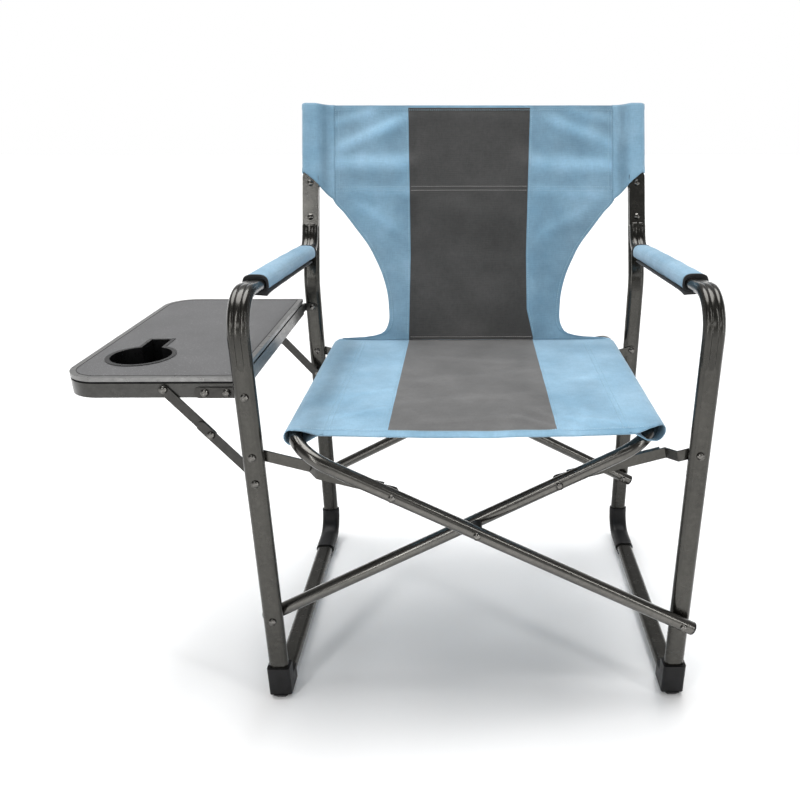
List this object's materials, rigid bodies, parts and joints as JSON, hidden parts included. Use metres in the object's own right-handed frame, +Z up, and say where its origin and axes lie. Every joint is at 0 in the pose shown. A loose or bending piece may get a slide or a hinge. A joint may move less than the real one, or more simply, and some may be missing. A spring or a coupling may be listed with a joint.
{
  "type": "folding director chair",
  "caption": "Folding director chair with a tubular steel frame, sling seat and back, padded arms and a fold-down side table with a cup holder.",
  "frame": {"origin": "on the floor, below the middle of the bounding box of the open chair with its table", "axes": "+X to the sitter's left, which is the viewer's right; +Y to the back; +Z up"},
  "size_m": [0.8398, 0.628, 0.8086],
  "materials": {
    "frame_steel": "satin gunmetal coating on steel tube",
    "rivet_steel": "plain domed steel",
    "black_plastic": "moulded black",
    "blue_canvas": "woven polyester canvas",
    "grey_canvas": "woven polyester canvas",
    "black_webbing": "hook and loop strip",
    "table_laminate": "fine speckled grey laminate on board",
    "table_aluminium": "brushed, dark anodised"
  },
  "bodies": {
    "right_frame": {"upper_tube_right": "frame_steel", "lower_tube_right": "frame_steel", "front_foot_right": "black_plastic", "rear_foot_right": "black_plastic", "post_cap_right": "black_plastic", "arm_rivets_right": "rivet_steel", "leg_rivets_right": "rivet_steel", "arm_pad_right": "blue_canvas", "arm_pad_strip_right": "black_webbing", "back_sleeve_right": "blue_canvas", "back_side_left": "blue_canvas", "back_centre": "grey_canvas", "back_side_right": "blue_canvas"},
    "left_frame": {"upper_tube_left": "frame_steel", "lower_tube_left": "frame_steel", "front_foot_left": "black_plastic", "rear_foot_left": "black_plastic", "post_cap_left": "black_plastic", "arm_rivets_left": "rivet_steel", "leg_rivets_left": "rivet_steel", "arm_pad_left": "blue_canvas", "arm_pad_strip_left": "black_webbing", "back_sleeve_left": "blue_canvas", "table_pivot_pins": "rivet_steel", "table_pivot_spacers": "rivet_steel"},
    "cross_a": {"cross_tube_a": "frame_steel", "tube_plugs_a": "black_plastic", "centre_pivots": "rivet_steel", "centre_spacers": "black_plastic", "link_pins_left": "rivet_steel"},
    "cross_b": {"cross_tube_b": "frame_steel", "tube_plugs_b": "black_plastic", "link_pins_right": "rivet_steel"},
    "link_left": {"link_front_left": "frame_steel", "link_rear_left": "frame_steel", "link_eye_rivets_left": "rivet_steel"},
    "link_right": {"link_front_right": "frame_steel", "link_rear_right": "frame_steel", "link_eye_rivets_right": "rivet_steel"},
    "seat_left": {"seat_side_left": "blue_canvas", "seat_centre_left": "grey_canvas", "seat_sleeve_left": "blue_canvas"},
    "seat_right": {"seat_centre_right": "grey_canvas", "seat_side_right": "blue_canvas", "seat_sleeve_right": "blue_canvas"},
    "table": {"table_board": "table_laminate", "table_rim": "table_aluminium", "table_gasket": "black_plastic", "table_frame": "table_aluminium", "cup_holder": "black_plastic", "table_bracket_front": "frame_steel", "table_bracket_rear": "frame_steel", "table_rivets": "rivet_steel"},
    "brace_upper": {"brace_upper_front": "frame_steel", "brace_upper_rear": "frame_steel"},
    "brace_lower": {"brace_lower_front": "frame_steel", "brace_lower_rear": "frame_steel", "knee_rivets": "rivet_steel"}
  },
  "joints": [
    {"name": "frame_fold", "type": "hinge", "parent": "right_frame", "child": "cross_a", "pos_m": [0.40008, -0.06975, 0.1345], "axis": [0, 1, 0], "range_deg": [0, 47.7], "deforming": ["back_side_left", "back_centre", "back_side_right"]},
    {"name": "centre_fold", "type": "hinge", "parent": "cross_a", "child": "cross_b", "pos_m": [0.11008, -0.05275, 0.2842], "axis": [0, -1, 0], "range_deg": [0, 95.42]},
    {"name": "left_leg_fold", "type": "hinge", "parent": "cross_b", "child": "left_frame", "pos_m": [-0.17992, -0.03575, 0.1345], "axis": [0, 1, 0], "range_deg": [0, 47.72]},
    {"name": "left_link_swing", "type": "hinge", "parent": "left_frame", "child": "link_left", "pos_m": [-0.17992, -0.06975, 0.391], "axis": [0, -1, 0], "range_deg": [0, 89.22]},
    {"name": "right_link_swing", "type": "hinge", "parent": "right_frame", "child": "link_right", "pos_m": [0.40008, -0.03575, 0.391], "axis": [0, 1, 0], "range_deg": [0, 89.22]},
    {"name": "seat_left_fold", "type": "hinge", "parent": "cross_a", "child": "seat_left", "pos_m": [-0.13192, -0.06075, 0.40912], "axis": [0, 1, 0], "range_deg": [0, 28.21], "deforming": ["seat_side_left", "seat_centre_left", "seat_sleeve_left"]},
    {"name": "seat_centre_fold", "type": "hinge", "parent": "seat_left", "child": "seat_right", "pos_m": [0.11008, -0.06075, 0.42092], "axis": [0, -1, 0], "range_deg": [0, 151.78], "deforming": ["seat_centre_right", "seat_side_right", "seat_sleeve_right"]},
    {"name": "table_fold", "type": "hinge", "parent": "left_frame", "child": "table", "pos_m": [-0.17992, -0.06075, 0.474], "axis": [0, -1, 0], "range_deg": [0, 90]},
    {"name": "brace_upper_swing", "type": "hinge", "parent": "table", "child": "brace_upper", "pos_m": [-0.28692, -0.06075, 0.4785], "axis": [0, 1, 0], "range_deg": [0, 203.42]},
    {"name": "brace_lower_swing", "type": "hinge", "parent": "left_frame", "child": "brace_lower", "pos_m": [-0.17992, -0.06075, 0.3535], "axis": [0, -1, 0], "range_deg": [0, 56.77]}
  ],
  "couplings": [
    {"joint": "centre_fold", "follows": "frame_fold", "ratio": 2},
    {"joint": "left_leg_fold", "follows": "frame_fold", "ratio": 1},
    {"joint": "left_link_swing", "follows": "frame_fold", "ratio": 1.87},
    {"joint": "right_link_swing", "follows": "frame_fold", "ratio": 1.87},
    {"joint": "seat_left_fold", "follows": "frame_fold", "ratio": 0.59084},
    {"joint": "seat_centre_fold", "follows": "frame_fold", "ratio": 3.1817},
    {"joint": "brace_upper_swing", "follows": "table_fold", "ratio": 2.2599},
    {"joint": "brace_lower_swing", "follows": "table_fold", "ratio": 0.63047}
  ]
}
